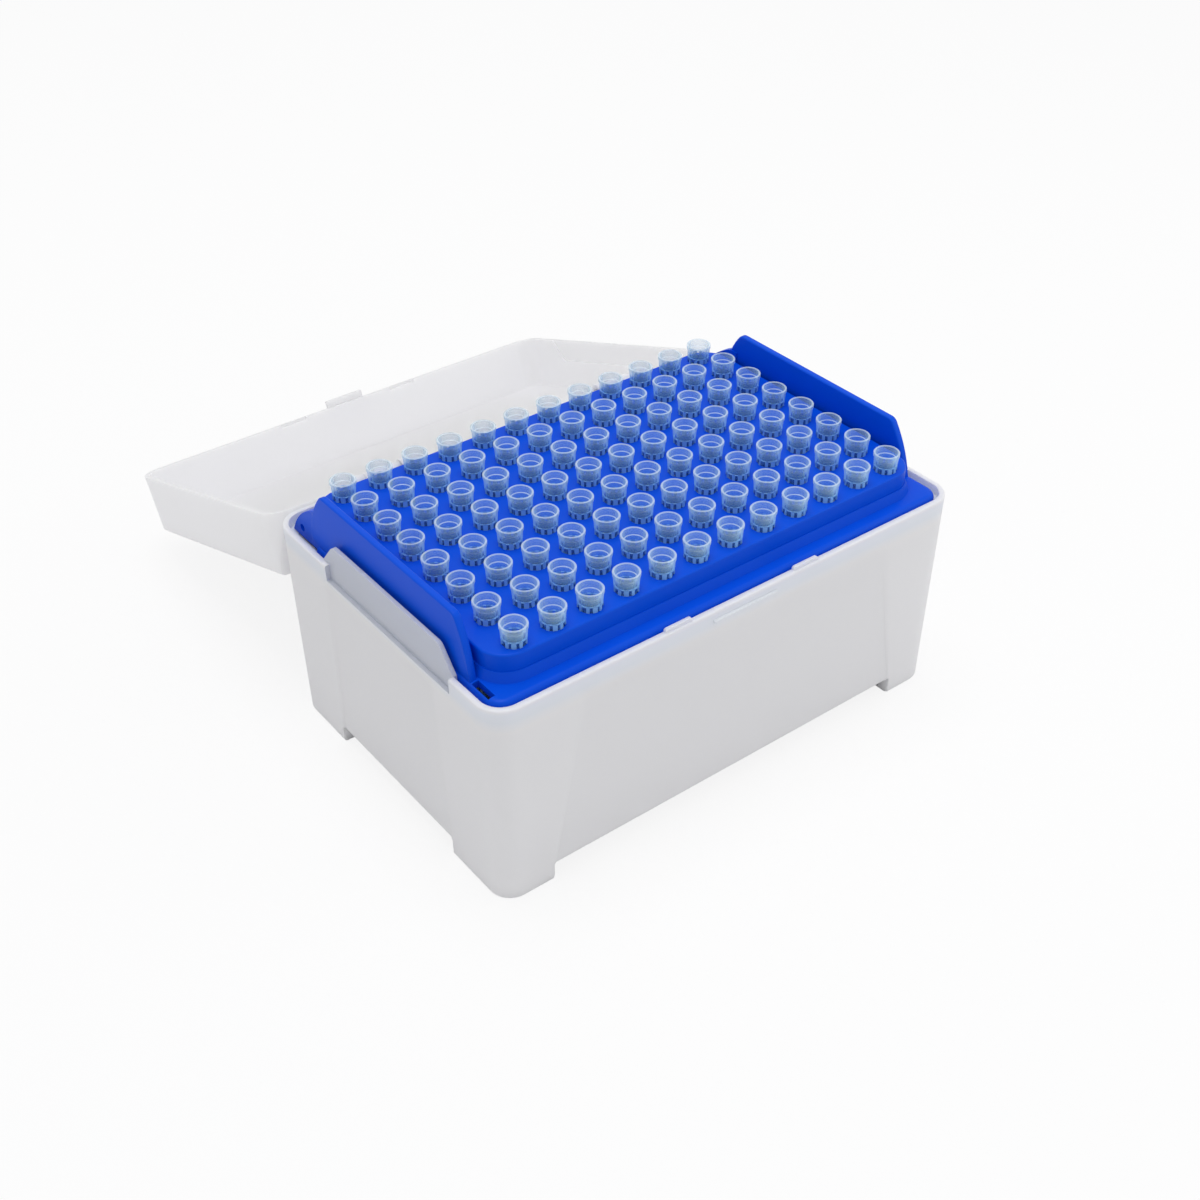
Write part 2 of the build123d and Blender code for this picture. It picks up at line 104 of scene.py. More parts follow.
class Hand:
    """Hand tools around bpy.ops that pick things by place and leave edit mode tidy."""

    @staticmethod
    def deselect() -> None:
        """Leaves nothing selected and nothing active."""
        for item in bpy.context.view_layer.objects:
            item.select_set(False)
        bpy.context.view_layer.objects.active = None

    @staticmethod
    def take(piece: bpy.types.Object) -> None:
        """Makes one piece the only selected and active one.

        Args:
            piece: The object to work on.
        """
        Hand.deselect()
        piece.select_set(True)
        bpy.context.view_layer.objects.active = piece

    @staticmethod
    def open(piece: bpy.types.Object, mode: str = "VERT") -> None:
        """Takes a piece into edit mode with nothing selected.

        Args:
            piece: The mesh object to edit.
            mode: VERT, EDGE or FACE.
        """
        Hand.take(piece)
        bpy.ops.object.mode_set(mode="EDIT")
        bpy.ops.mesh.select_mode(type=mode)
        bpy.ops.mesh.select_all(action="DESELECT")

    @staticmethod
    def close() -> None:
        """Goes back to object mode."""
        bpy.ops.object.mode_set(mode="OBJECT")

    @staticmethod
    def pick_faces(piece: bpy.types.Object, wanted: Callable[[Vector, Vector], bool]) -> int:
        """Selects the faces whose centre and normal pass a test, in edit mode.

        Args:
            piece: The mesh object in edit mode.
            wanted: Takes a face's centre and its normal.

        Returns:
            How many faces were picked.
        """
        bpy.ops.mesh.select_all(action="DESELECT")
        mesh = bmesh.from_edit_mesh(piece.data)
        picked = 0
        for face in mesh.faces:
            if wanted(face.calc_center_median(), face.normal):
                face.select_set(True)
                picked += 1
        mesh.select_flush_mode()
        bmesh.update_edit_mesh(piece.data)
        return picked


@dataclass(frozen=True)
class Plastic:
    """A moulded plastic, with the cloudiness and the fine skin that the mould leaves on it.

    Attributes:
        name: Name of the material.
        colour: Base colour, linear.
        cloud: Colour of the slightly different drifts in the melt, linear.
        cloud_size: Size of those drifts, in metres.
        roughness: Lowest and highest roughness over the surface.
        skin_size: Size of the mould's texture, in metres.
        skin_depth: Depth of that texture, in metres.
        clearness: Share of light that goes through.
        milkiness: Share of light scattered inside.
        scatter: Distance that scattered light travels, in metres.
        index: Index of refraction.
        gloss: Strength of the mirror-like share, 0.5 being that of the index alone.
        veil: How much a thin clear wall hides where it faces the viewer and where it is seen edge-on.
        bands: Heights, in metres, and the tint painted there for the shade and colour of what shows through
            from close behind.
    """

    name: str
    colour: Colour
    cloud: Colour
    cloud_size: float
    roughness: tuple[float, float]
    skin_size: float
    skin_depth: float
    clearness: float = 0.0
    milkiness: float = 0.0
    scatter: float = 0.004
    index: float = 1.49
    gloss: float = 0.5
    veil: tuple[float, float] | None = None
    bands: tuple[tuple[float, Colour], ...] = ()

    def material(self) -> bpy.types.Material:
        """Builds the node material.

        Returns:
            The material, made once for each finish.
        """
        known = bpy.data.materials.get(self.name)
        if known:
            return known
        material = bpy.data.materials.new(self.name)
        material.use_nodes = True
        tree = material.node_tree
        shader = tree.nodes["Principled BSDF"]
        shader.inputs["IOR"].default_value = self.index
        shader.inputs["Specular IOR Level"].default_value = self.gloss
        shader.inputs["Transmission Weight"].default_value = self.clearness
        shader.inputs["Subsurface Weight"].default_value = self.milkiness
        shader.inputs["Subsurface Radius"].default_value = (1.0, 1.0, 1.0)
        shader.inputs["Subsurface Scale"].default_value = self.scatter

        place = tree.nodes.new("ShaderNodeTexCoord")
        drift = self._noise(tree, place, self.cloud_size, 3.0)
        blend = tree.nodes.new("ShaderNodeMix")
        blend.data_type = "RGBA"
        blend.inputs["A"].default_value = (*self.colour, 1.0)
        blend.inputs["B"].default_value = (*self.cloud, 1.0)
        tree.links.new(drift.outputs["Fac"], blend.inputs["Factor"])
        colour = self._banded(tree, place, blend.outputs["Result"]) if self.bands else blend.outputs["Result"]
        tree.links.new(colour, shader.inputs["Base Color"])

        skin = self._noise(tree, place, self.skin_size, 2.0)
        gloss = tree.nodes.new("ShaderNodeMapRange")
        gloss.inputs["To Min"].default_value = self.roughness[0]
        gloss.inputs["To Max"].default_value = self.roughness[1]
        tree.links.new(drift.outputs["Fac"], gloss.inputs["Value"])
        tree.links.new(gloss.outputs["Result"], shader.inputs["Roughness"])

        bump = tree.nodes.new("ShaderNodeBump")
        bump.inputs["Strength"].default_value = 1.0
        bump.inputs["Distance"].default_value = self.skin_depth
        tree.links.new(skin.outputs["Fac"], bump.inputs["Height"])
        tree.links.new(bump.outputs["Normal"], shader.inputs["Normal"])
        if self.veil:
            facing = tree.nodes.new("ShaderNodeLayerWeight")
            facing.inputs["Blend"].default_value = 0.2
            cover = tree.nodes.new("ShaderNodeMapRange")
            cover.inputs["To Min"].default_value = self.veil[0]
            cover.inputs["To Max"].default_value = self.veil[1]
            tree.links.new(facing.outputs["Facing"], cover.inputs["Value"])
            tree.links.new(cover.outputs["Result"], shader.inputs["Alpha"])
        return material

    def _banded(
        self, tree: bpy.types.NodeTree, place: bpy.types.Node, colour: bpy.types.NodeSocket
    ) -> bpy.types.NodeSocket:
        """Paints shade and see-through colour into a colour by height.

        Args:
            tree: The material's nodes.
            place: Its texture coordinates.
            colour: The colour to tint.

        Returns:
            The tinted colour.
        """
        low, high = self.bands[0][0], self.bands[-1][0]
        split = tree.nodes.new("ShaderNodeSeparateXYZ")
        tree.links.new(place.outputs["Object"], split.inputs["Vector"])
        height = tree.nodes.new("ShaderNodeMapRange")
        height.inputs["From Min"].default_value = low
        height.inputs["From Max"].default_value = high
        tree.links.new(split.outputs["Z"], height.inputs["Value"])
        ramp = tree.nodes.new("ShaderNodeValToRGB")
        stops = ramp.color_ramp.elements
        for index, (level, tint) in enumerate(self.bands):
            share = (level - low) / (high - low)
            stop = stops[index] if index < 2 else stops.new(share)
            stop.position = share
            stop.color = (*tint, 1.0)
        tree.links.new(height.outputs["Result"], ramp.inputs["Fac"])
        tinted = tree.nodes.new("ShaderNodeMix")
        tinted.data_type = "RGBA"
        tinted.blend_type = "MULTIPLY"
        tinted.inputs["Factor"].default_value = 1.0
        tree.links.new(colour, tinted.inputs["A"])
        tree.links.new(ramp.outputs["Color"], tinted.inputs["B"])
        return tinted.outputs["Result"]

    @staticmethod
    def _noise(tree: bpy.types.NodeTree, place: bpy.types.Node, size: float, detail: float) -> bpy.types.Node:
        """Adds a noise of a given feature size on object coordinates.

        Args:
            tree: The material's nodes.
            place: Its texture coordinates.
            size: Feature size in metres.
            detail: Number of finer octaves.

        Returns:
            The noise node.
        """
        noise = tree.nodes.new("ShaderNodeTexNoise")
        noise.inputs["Scale"].default_value = 1.0 / size
        noise.inputs["Detail"].default_value = detail
        tree.links.new(place.outputs["Object"], noise.inputs["Vector"])
        return noise

    def dress(self, piece: bpy.types.Object) -> None:
        """Puts the finish on every slot of a piece.

        Args:
            piece: The object to dress.
        """
        piece.data.materials.clear()
        piece.data.materials.append(self.material())


FROSTED_TUB = Plastic(
    name="frosted_tub",
    colour=(0.95, 0.945, 0.98),
    cloud=(0.965, 0.96, 0.99),
    cloud_size=0.03,
    roughness=(0.42, 0.52),
    skin_size=0.0004,
    skin_depth=0.000012,
    clearness=0.12,
    milkiness=0.6,
    scatter=0.0035,
    # Painted shade and painted see-through blue of the tray's skirt, in a band under the rim.
    bands=(
        (0.0455, (1.0, 1.0, 1.0)),
        (0.0480, (0.90, 0.945, 1.0)),
        (0.0500, (0.90, 0.945, 1.0)),
        (0.0510, (0.98, 0.99, 1.0)),
    ),
)
# Painted shade and painted see-through blue of the tray behind the tabs.
TAB_PAINTED_SHADE = replace(
    FROSTED_TUB,
    name="frosted_tab_painted_shade",
    colour=(0.70, 0.735, 0.83),
    cloud=(0.75, 0.785, 0.88),
    cloud_size=0.012,
    clearness=0.3,
    milkiness=0.4,
    scatter=0.002,
    bands=(),
)
# Painted shadow on the ends of the recess beside the tabs.
NOOK_PAINTED_SHADOW = replace(
    TAB_PAINTED_SHADE,
    name="frosted_nook_painted_shadow",
    colour=(0.54, 0.56, 0.65),
    cloud=(0.58, 0.60, 0.70),
    clearness=0.0,
    milkiness=0.0,
)
FROSTED_LID = replace(
    FROSTED_TUB,
    name="frosted_lid",
    colour=(0.925, 0.92, 0.965),
    cloud=(0.94, 0.935, 0.975),
    roughness=(0.40, 0.50),
    clearness=0.06,
    milkiness=0.9,
    scatter=0.007,
    bands=(),
)
BLUE_TRAY = Plastic(
    name="blue_tray",
    colour=(0.0, 0.074, 0.68),
    cloud=(0.0, 0.084, 0.72),
    cloud_size=0.02,
    roughness=(0.34, 0.42),
    skin_size=0.0006,
    skin_depth=0.000008,
    gloss=0.12,
)
# Light blue painted into the clear tips for the blue deck seen through them.
CLEAR_TIPS_PAINTED_BLUE = Plastic(
    name="clear_tips_painted_blue",
    colour=(0.58, 0.84, 0.98),
    cloud=(0.66, 0.90, 1.0),
    cloud_size=0.004,
    roughness=(0.12, 0.2),
    skin_size=0.0008,
    skin_depth=0.000004,
    index=1.45,
    veil=(0.14, 1.0),
    # Painted shade and deck blue, deeper towards the lower cup.
    bands=(
        (58.3 * MM, (0.42, 0.68, 1.0)),
        (60.3 * MM, (1.0, 1.0, 1.0)),
    ),
)
# Painted highlight: a whiter, more opaque rim and bore step.
TIP_EDGES_PAINTED_HIGHLIGHT = replace(
    CLEAR_TIPS_PAINTED_BLUE,
    name="clear_tip_edges_painted_highlight",
    colour=(0.74, 0.89, 0.99),
    cloud=(0.82, 0.94, 1.0),
    cloud_size=0.002,
    roughness=(0.1, 0.18),
    veil=(0.42, 1.0),
    bands=(),
)
# Painted see-through blue of the deck on the fins.
TIP_FINS_PAINTED_BLUE = replace(
    TIP_EDGES_PAINTED_HIGHLIGHT,
    name="clear_tip_fins_painted_blue",
    colour=(0.24, 0.54, 0.98),
    cloud=(0.32, 0.62, 1.0),
    veil=(0.5, 1.0),
)
# Painted shade with the deck's blue seen through, on the neck between the fins.
TIP_NECKS_PAINTED_SHADE = replace(
    TIP_EDGES_PAINTED_HIGHLIGHT,
    name="clear_tip_necks_painted_shade",
    colour=(0.03, 0.17, 0.74),
    cloud=(0.05, 0.22, 0.80),
    roughness=(0.12, 0.2),
    veil=(0.3, 0.6),
)


@dataclass(frozen=True)
class PaintedTabShade:
    """The raised tabs on the tub's ends, and the recess outside them, where the wall is thinner and where
    shade and the tray's blue seen through the wall are painted on.

    Attributes:
        finish: The plastic with the painted shade and painted see-through blue of the tabs and the recess's
            floor.
        nook: The plastic with the painted shadow of the recess's ends.
        inset: How far the tab's outer face lies inside the tub's end, in metres.
        thickness: The tab's thickness, in metres.
        foot: Lowest height of the zone, in metres.
        floor: Height of the recess's floor, in metres.
        reach_y: Front and back end of the zone, in metres.
    """

    finish: Plastic
    nook: Plastic
    inset: float = 1.1 * MM
    thickness: float = 0.95 * MM
    foot: float = 47.3 * MM
    floor: float = 47.4 * MM
    reach_y: tuple[float, float] = (-27.4 * MM, 22.2 * MM)

    def dress(self, piece: bpy.types.Object) -> None:
        """Paints shade and the tray's blue seen through on the tabs and the recess's floor, and painted
        shadow on the recess's ends.

        Args:
            piece: The tub's skin.
        """
        end = CAD_BOX[1][0]
        outer = end - self.inset + 2 * NEAR
        inner = end - self.inset - self.thickness - 2 * NEAR

        def in_reach(centre: Vector) -> bool:
            """True between the zone's ends and above its foot."""
            return centre.z > self.foot and self.reach_y[0] < centre.y < self.reach_y[1]

        def on_tab(centre: Vector, normal: Vector) -> bool:
            """True for a face of a tab or the recess's floor."""
            ledge = outer < abs(centre.x) and abs(centre.z - self.floor) < 5 * NEAR and normal.z > STEEP
            return in_reach(centre) and (inner < abs(centre.x) < outer or ledge)

        def on_nook(centre: Vector, normal: Vector) -> bool:
            """True for a face that ends the recess."""
            return in_reach(centre) and outer < abs(centre.x) and abs(normal.y) > STEEP

        Hand.open(piece, "FACE")
        for index, (finish, wanted) in enumerate(((self.finish, on_tab), (self.nook, on_nook)), start=1):
            piece.data.materials.append(finish.material())
            picked = Hand.pick_faces(piece, wanted)
            piece.active_material_index = index
            bpy.ops.object.material_slot_assign()
            LOG.info("%s: %d faces", finish.name, picked)
        Hand.close()


@dataclass(frozen=True)
class PanelSteps:
    """The shallow steps round the panels of one pair of opposite tub walls, drawn out into soft slopes.

    Attributes:
        across: Axis that the walls face, 0 for X and 1 for Y.
        wall: Distance of the wall's rim from the middle, in metres.
        half_foot: Half the panel's length at its foot, in metres.
        half_top: Half the panel's length at its top, in metres.
        foot: Height of the panel's foot, in metres.
        underside: Height of the tub's underside between the feet, in metres.
        top: Height of the panel's top, in metres.
        rim: Height of the tub's rim, in metres.
        draft: The wall's draft, in degrees.
        slope_foot: Width of the slope at the feet, in metres.
        slope_top: Width of the slope along the top, in metres.
        reach: How near a point lies to the lip that it belongs to, in metres.
    """

    across: int
    wall: float
    half_foot: float
    half_top: float
    foot: float = -1.0 * MM
    underside: float = 4.3 * MM
    top: float = 45.6 * MM
    rim: float = 51.1 * MM
    draft: float = 1.0
    slope_foot: float = 0.4 * MM
    slope_top: float = 1.4 * MM
    reach: float = 0.06 * MM

    def soften(self, piece: bpy.types.Object) -> None:
        """Moves the outer lip of each step along the wall, away from the panel.

        Args:
            piece: The tub's skin, in edit mode.
        """
        along = 1 - self.across
        lean = math.tan(math.radians(self.draft))
        near = self.reach
        mesh = bmesh.from_edit_mesh(piece.data)
        moves = []
        for point in mesh.verts:
            share = (point.co.z - self.foot) / (self.top - self.foot)
            face = self.wall - (self.rim - point.co.z) * lean
            edge = self.half_foot + (self.half_top - self.half_foot) * share
            on_wall = abs(abs(point.co[self.across]) - face) <= near
            if not on_wall or not self.underside < point.co.z < self.top + near:
                continue
            move = Vector((0.0, 0.0, 0.0))
            if abs(abs(point.co[along]) - edge) < near:
                width = self.slope_foot + (self.slope_top - self.slope_foot) * share
                move[along] = math.copysign(width, point.co[along])
            if abs(point.co.z - self.top) < near and abs(point.co[along]) < edge + near:
                move.z = self.slope_top
                move[self.across] = math.copysign(self.slope_top * lean, point.co[self.across])
            if move.length:
                moves.append((point.index, move))
        for index, move in moves:
            bpy.ops.mesh.select_all(action="DESELECT")
            mesh = bmesh.from_edit_mesh(piece.data)
            mesh.verts.ensure_lookup_table()
            mesh.verts[index].select_set(True)
            mesh.select_flush_mode()
            bpy.ops.transform.translate(value=move)
        LOG.info("panel steps across axis %d: %d points drawn out", self.across, len(moves))


@dataclass
class Shell:
    """One moulded shell that keeps the form of its CAD node and gets a joined, smoothly shaded skin.

    Attributes:
        node: The CAD node it stands for.
        body: The body it rides on.
        slot: The record's material slot; not used.
        finish: Its plastic.
        thin: The tabs and recesses of thinner wall where shade is painted on, or None.
        steps: The shallow steps round its panels.
        crease: Angle in degrees above which an edge stays sharp.
        weld: Distance under which the CAD mesh's points are joined, in metres.
    """

    node: str
    body: Body
    slot: Slot
    finish: Plastic
    thin: PaintedTabShade | None = None
    steps: tuple[PanelSteps, ...] = ()
    crease: float = 28.0
    weld: float = 0.000002

    def build(self) -> bpy.types.Object:
        """Makes, dresses and mounts the shell.

        Returns:
            The new piece.
        """
        source = frame["nodes"][self.node]
        piece = bpy.data.objects.new(f"{self.node}_skin", source.data.copy())
        bpy.context.scene.collection.objects.link(piece)
        self._join(piece)
        self.finish.dress(piece)
        if self.thin:
            self.thin.dress(piece)
        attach(piece, self.body.value)
        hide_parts(self.node)
        LOG.info("%s: %d faces", piece.name, len(piece.data.polygons))
        return piece

    def _join(self, piece: bpy.types.Object) -> None:
        """Joins the loose triangles and shades them by angle.

        Args:
            piece: The copied mesh object.
        """
        Hand.take(piece)
        if piece.data.has_custom_normals:
            bpy.ops.mesh.customdata_custom_splitnormals_clear()
        Hand.open(piece)
        bpy.ops.mesh.select_all(action="SELECT")
        bpy.ops.mesh.remove_doubles(threshold=self.weld)
        bpy.ops.mesh.select_mode(type="VERT")
        for step in self.steps:
            step.soften(piece)
        Hand.close()
        bpy.ops.object.shade_smooth_by_angle(angle=math.radians(self.crease))


@dataclass
class Tip:
    """One pipette tip: rim bead, cup, the ring of small fins that stands on the deck, and the hollow cone.

    Every length is in metres, every height is measured down from the rim, and the crease is in degrees.
    """

    sides: int = 50
    fins: int = 10
    fin_sides: int = 2
    bead_radius: float = 2.88 * MM
    bead_height: float = 1.0 * MM
    bead_round: float = 0.16 * MM
    cup_top_radius: float = 2.72 * MM
    cup_foot_radius: float = 2.62 * MM
    cup_depth: float = 3.1 * MM
    fin_inner_radius: float = 2.3 * MM
    neck_radius: float = 2.2 * MM
    collar_height: float = 4.4 * MM
    waist_radius: float = 1.75 * MM
    waist_depth: float = 21.0 * MM
    end_radius: float = 0.5 * MM
    length: float = 50.5 * MM
    bore_end_radius: float = 0.25 * MM
    bore_step: float = 0.12 * MM
    bore_step_depth: float = 1.6 * MM
    wall: float = 0.45 * MM
    ledge_lean: float = 0.3
    weld: float = 1.1e-7
    crease: float = 35.0

    def rings(self) -> Sequence[Ring]:
        """The tip's section as (radius, height) from the inner rim, over the outside, and back up the bore.

        Returns:
            The rings in the order they are drawn out.
        """
        bore = self.bead_radius - self.wall
        soft = self.bead_round
        return (
            (bore, -soft),
            (bore + soft, 0.0),
            (self.bead_radius - soft, 0.0),
            (self.bead_radius, -soft),
            (self.bead_radius, -self.bead_height + soft),
            (self.cup_top_radius, -self.bead_height),
            (self.cup_foot_radius, -self.cup_depth),
            (self.fin_inner_radius, -self.cup_depth),
            (self.neck_radius, -self.cup_depth),
            (self.neck_radius, -self.collar_height),
            (self.waist_radius, -self.waist_depth),
            (self.end_radius, -self.length),
            (self.bore_end_radius, -self.length),
            (self.waist_radius - self.wall, -self.waist_depth),
            (self.neck_radius - self.wall, -self.collar_height),
            (self.neck_radius - self.bore_step, -self.bore_step_depth - self.bore_step),
            (bore - self.bore_step, -self.bore_step_depth),
        )

    def build(self, name: str) -> bpy.types.Object:
        """Draws the section out ring by ring, closes it and adds the fins.

        Args:
            name: Name of the new object.

        Returns:
            The tip, its rim at the origin.
        """
        rings = self.rings()
        radius, height = rings[0]
        Hand.deselect()
        bpy.ops.mesh.primitive_circle_add(vertices=self.sides, radius=radius, location=(0.0, 0.0, height))
        tip = bpy.context.active_object
        tip.name = name
        bpy.ops.object.transform_apply(location=True, rotation=True, scale=True)
        Hand.open(tip, "EDGE")
        bpy.ops.mesh.select_all(action="SELECT")
        for next_radius, next_height in (*rings[1:], rings[0]):
            drop = (0.0, 0.0, next_height - height)
            bpy.ops.mesh.extrude_edges_move(TRANSFORM_OT_translate={"value": drop})
            share = next_radius / radius
            bpy.ops.transform.resize(value=(share, share, 1.0), center_override=(0.0, 0.0, next_height))
            radius, height = next_radius, next_height
        bpy.ops.mesh.select_all(action="SELECT")
        bpy.ops.mesh.remove_doubles(threshold=self.weld)
        bpy.ops.mesh.normals_make_consistent(inside=False)
        self._add_fins(tip)
        self._dress(tip)
        Hand.close()
        bpy.ops.object.shade_smooth_by_angle(angle=math.radians(self.crease))
        return tip

    def _dress(self, tip: bpy.types.Object) -> None:
        """Gives the rim and the bore's step a painted highlight, and the neck and the fins painted shade and
        the deck's blue seen through.

        Args:
            tip: The tip in edit mode.
        """
        for finish in (CLEAR_TIPS_PAINTED_BLUE, TIP_EDGES_PAINTED_HIGHLIGHT, TIP_NECKS_PAINTED_SHADE, TIP_FINS_PAINTED_BLUE):
            tip.data.materials.append(finish.material())
        step = -self.bore_step_depth - 2 * self.bore_step
        neck = self.neck_radius + 2 * NEAR
        below, above = -self.collar_height - NEAR, -self.cup_depth + NEAR

        def on_edge(centre: Vector, normal: Vector) -> bool:
            """True on the rim and the bore's step."""
            rim = centre.z > -2 * self.bead_round
            ledge = step < centre.z < -self.bore_step_depth + NEAR and normal.z > self.ledge_lean
            return rim or ledge

        def on_fin(centre: Vector, normal: Vector) -> bool:
            """True on the fins and the cup's underside."""
            radius = math.hypot(centre.x, centre.y)
            return below < centre.z < above and radius > neck

        def on_neck(centre: Vector, normal: Vector) -> bool:
            """True on the wall between the cup and the deck."""
            radius = math.hypot(centre.x, centre.y)
            return below < centre.z < above and radius < neck

        bpy.ops.mesh.select_mode(type="FACE")
        for index, wanted in ((1, on_edge), (2, on_neck), (3, on_fin)):
            Hand.pick_faces(tip, wanted)
            tip.active_material_index = index
            bpy.ops.object.material_slot_assign()

    def _add_fins(self, tip: bpy.types.Object) -> None:
        """Draws the fins down from the cup's underside to the deck.

        Args:
            tip: The tip in edit mode.
        """
        step = 2 * math.pi / self.sides
        pitch = self.sides // self.fins

        def on_fin(centre: Vector, normal: Vector) -> bool:
            """True for an underside face that a fin grows from."""
            turn = math.atan2(centre.y, centre.x) % (2 * math.pi)
            flat = abs(centre.z + self.cup_depth) < NEAR and abs(normal.z) > STEEP
            flat = flat and math.hypot(centre.x, centre.y) > self.fin_inner_radius
            return flat and int(turn / step) % pitch < self.fin_sides

        bpy.ops.mesh.select_mode(type="FACE")
        Hand.pick_faces(tip, on_fin)
        drop = self.cup_depth - self.collar_height
        bpy.ops.mesh.extrude_region_move(TRANSFORM_OT_translate={"value": (0.0, 0.0, drop)})


@dataclass
class TipRack:
    """The 96 tips, modelled once and copied into twelve columns.

    Attributes:
        pitch: Distance between neighbouring tips.
        columns: Number of columns along X.
        rows: Number of tips in a column along Y.
        tip: The tip's sizes.
        turns: Degrees added to a tip's turn from column to column and from row to row.
        full_turn: Degrees after which the fins stand as before.
    """

    pitch: float = 9.0 * MM
    columns: int = 12
    rows: int = 8
    tip: Tip = field(default_factory=Tip)
    turns: tuple[int, int] = (47, 31)
    full_turn: int = 36

    def build(self) -> list[bpy.types.Object]:
        """Makes the master tip, copies it column by column and joins each column.

        Returns:
            The twelve columns.
        """
        master = self.tip.build("tip_master")
        made = [self._column(master, number) for number in range(1, self.columns + 1)]
        bpy.data.objects.remove(master)
        LOG.info("tips: %d columns of %d faces", len(made), len(made[0].data.polygons))
        return made

    def _column(self, master: bpy.types.Object, number: int) -> bpy.types.Object:
        """Copies the master tip to each place of one column.

        Args:
            master: The tip at the origin.
            number: The column, counted from the left end.

        Returns:
            The joined column.
        """
        node = f"tips_column_{number:02d}"
        low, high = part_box(node)
        x = (low.x + high.x) / 2
        middle = (low.y + high.y) / 2
        tips = []
        for row in range(self.rows):
            y = middle + (row - (self.rows - 1) / 2) * self.pitch
            copy = master.copy()
            copy.data = master.data.copy()
            turn = Matrix.Rotation(self._turn(number, row), 4, "Z")
            copy.data.transform(Matrix.Translation((x, y, high.z)) @ turn)
            bpy.context.scene.collection.objects.link(copy)
            tips.append(copy)
        Hand.take(tips[0])
        for copy in tips:
            copy.select_set(True)
        bpy.ops.object.join()
        column = bpy.context.active_object
        column.name = f"{node}_clear"
        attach(column, Body.BOX.value)
        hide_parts(node)
        return column

    def _turn(self, number: int, row: int) -> float:
        """How far one tip is turned about its own axis, as loose tips are.

        Args:
            number: The column.
            row: The place in the column.

        Returns:
            The angle in radians.
        """
        return math.radians((number * self.turns[0] + row * self.turns[1]) % self.full_turn)


@dataclass(frozen=True)
class Lamp:
    """A square soft lamp aimed at the middle of the box.

    Attributes:
        name: Name of the lamp.
        place: Where it hangs, in metres.
        size: Length of its side, in metres.
        power: Its power in watts.
        target: The point it is aimed at, in metres.
    """

    name: str
    place: Point
    size: float
    power: float
    target: Point = (0.0, 0.02, 0.03)

    def hang(self) -> None:
        """Makes the lamp and turns it to its target."""
        light = bpy.data.lights.new(self.name, "AREA")
        light.shape = "SQUARE"
        light.size = self.size
        light.energy = self.power
        lamp = bpy.data.objects.new(self.name, light)
        lamp.location = self.place
        aim = Vector(self.target) - Vector(self.place)
        lamp.rotation_mode = "QUATERNION"
        lamp.rotation_quaternion = aim.to_track_quat("-Z", "Y")
        bpy.context.scene.collection.objects.link(lamp)


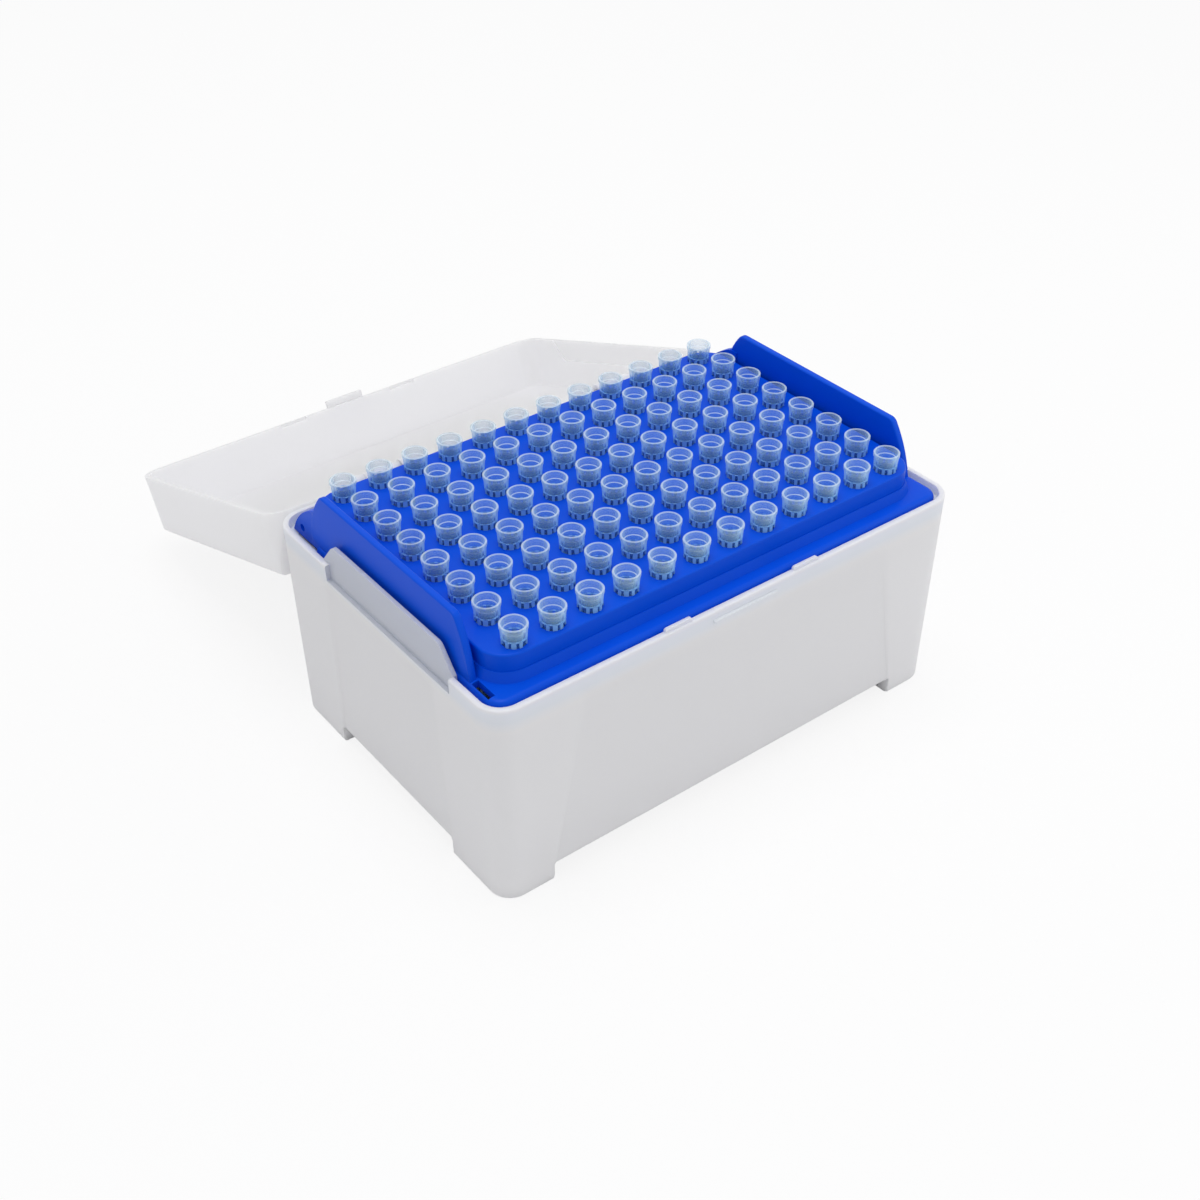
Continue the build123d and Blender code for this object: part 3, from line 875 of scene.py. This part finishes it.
@dataclass
class Studio:
    """Pale floor, soft light and the camera.

    Attributes:
        camera_place: Where the camera stands, in metres.
        heading: Turn about the vertical, in degrees.
        pitch: Angle below the horizon, in degrees.
        roll: Turn about the line of sight, in degrees.
        lens: Focal length on a 36 mm sensor.
        ambient: Strength of the even light from all round.
        floor_colour: Colour of the floor.
        floor_size: Length of the floor's side, in metres.
        floor_drop: How far the floor lies below the feet, in metres.
        floor_glow: Share of plain white in the floor as the viewer sees it.
        lamps: The lamps.
    """

    camera_place: Vector = field(default_factory=lambda: Vector((-0.1810, -0.2305, 0.2446)))
    heading: float = -37.36
    pitch: float = 36.79
    roll: float = -0.31
    lens: float = 48.15
    ambient: float = 0.675
    floor_colour: Colour = (0.86, 0.86, 0.87)
    floor_size: float = 12.0
    floor_drop: float = 0.1 * MM
    floor_glow: float = 0.85
    lamps: tuple[Lamp, ...] = (
        Lamp("key", (-0.02, 0.1, 1.0), 0.5, 3.3),
        Lamp("fill", (0.35, -0.30, 0.30), 0.3, 0.3),
    )

    def build(self) -> None:
        """Sets up everything that isn't the object."""
        self._camera()
        self._world()
        self._floor()
        for lamp in self.lamps:
            lamp.hang()
        settings = bpy.context.scene.view_settings
        settings.view_transform = "Standard"

    def _camera(self) -> None:
        """Places the camera and makes it the scene's."""
        camera = bpy.data.objects.new("camera", bpy.data.cameras.new("camera"))
        camera.data.lens = self.lens
        camera.data.clip_start = 0.01
        camera.data.clip_end = 20.0
        turn = (
            Matrix.Rotation(math.radians(self.heading), 4, "Z")
            @ Matrix.Rotation(math.radians(90.0 - self.pitch), 4, "X")
            @ Matrix.Rotation(math.radians(self.roll), 4, "Z")
        )
        camera.matrix_world = Matrix.Translation(self.camera_place) @ turn
        bpy.context.scene.collection.objects.link(camera)
        bpy.context.scene.camera = camera

    def _white_to_viewer(self, tree: bpy.types.NodeTree) -> bpy.types.NodeSocket:
        """A factor that is 1 for rays that show the background, directly or through the plastic.

        Args:
            tree: The nodes of a material or a world.

        Returns:
            The factor's socket.
        """
        path = tree.nodes.new("ShaderNodeLightPath")
        seen = tree.nodes.new("ShaderNodeMath")
        seen.operation = "MAXIMUM"
        tree.links.new(path.outputs["Is Camera Ray"], seen.inputs[0])
        tree.links.new(path.outputs["Is Transmission Ray"], seen.inputs[1])
        return seen.outputs[0]

    def _world(self) -> None:
        """Even light that the viewer sees as white."""
        world = bpy.data.worlds.new("studio")
        bpy.context.scene.world = world
        world.use_nodes = True
        tree = world.node_tree
        strength = tree.nodes.new("ShaderNodeMapRange")
        strength.inputs["To Min"].default_value = self.ambient
        strength.inputs["To Max"].default_value = 1.0
        tree.links.new(self._white_to_viewer(tree), strength.inputs["Value"])
        background = tree.nodes["Background"]
        background.inputs["Color"].default_value = (1.0, 1.0, 1.0, 1.0)
        tree.links.new(strength.outputs["Result"], background.inputs["Strength"])

    def _floor(self) -> None:
        """A wide pale floor that keeps a soft shadow."""
        Hand.deselect()
        bpy.ops.mesh.primitive_plane_add(size=self.floor_size, location=(0.0, 0.0, -self.floor_drop))
        floor = bpy.context.active_object
        floor.name = "floor"
        material = bpy.data.materials.new("studio_floor")
        material.use_nodes = True
        tree = material.node_tree
        matt = tree.nodes["Principled BSDF"]
        matt.inputs["Base Color"].default_value = (*self.floor_colour, 1.0)
        matt.inputs["Roughness"].default_value = 0.9
        matt.inputs["Specular IOR Level"].default_value = 0.0
        glow = tree.nodes.new("ShaderNodeEmission")
        glow.inputs["Color"].default_value = (1.0, 1.0, 1.0, 1.0)
        share = tree.nodes.new("ShaderNodeMath")
        share.operation = "MULTIPLY"
        share.inputs[1].default_value = self.floor_glow
        tree.links.new(self._white_to_viewer(tree), share.inputs[0])
        mix = tree.nodes.new("ShaderNodeMixShader")
        tree.links.new(share.outputs[0], mix.inputs["Fac"])
        tree.links.new(matt.outputs["BSDF"], mix.inputs[1])
        tree.links.new(glow.outputs["Emission"], mix.inputs[2])
        tree.links.new(mix.outputs["Shader"], tree.nodes["Material Output"].inputs["Surface"])
        floor.data.materials.append(material)


TUB_PANELS = (
    PanelSteps(across=1, wall=42.0 * MM, half_foot=49.0 * MM, half_top=40.0 * MM),
    PanelSteps(across=0, wall=62.0 * MM, half_foot=22.0 * MM, half_top=19.5 * MM),
)
SHELLS = (
    Shell("base", Body.BOX, Slot.TUB, FROSTED_TUB, PaintedTabShade(TAB_PAINTED_SHADE, NOOK_PAINTED_SHADOW), TUB_PANELS),
    Shell("lid", Body.LID, Slot.LID, FROSTED_LID),
    Shell("tray", Body.BOX, Slot.TRAY, BLUE_TRAY),
)


def main() -> None:
    """Builds the studio and every sub-assembly in order."""
    logging.basicConfig(level=logging.INFO, format="%(name)s: %(message)s")
    Studio().build()
    for shell in SHELLS:
        shell.build()
    TipRack().build()


if __name__ == "__main__":
    main()
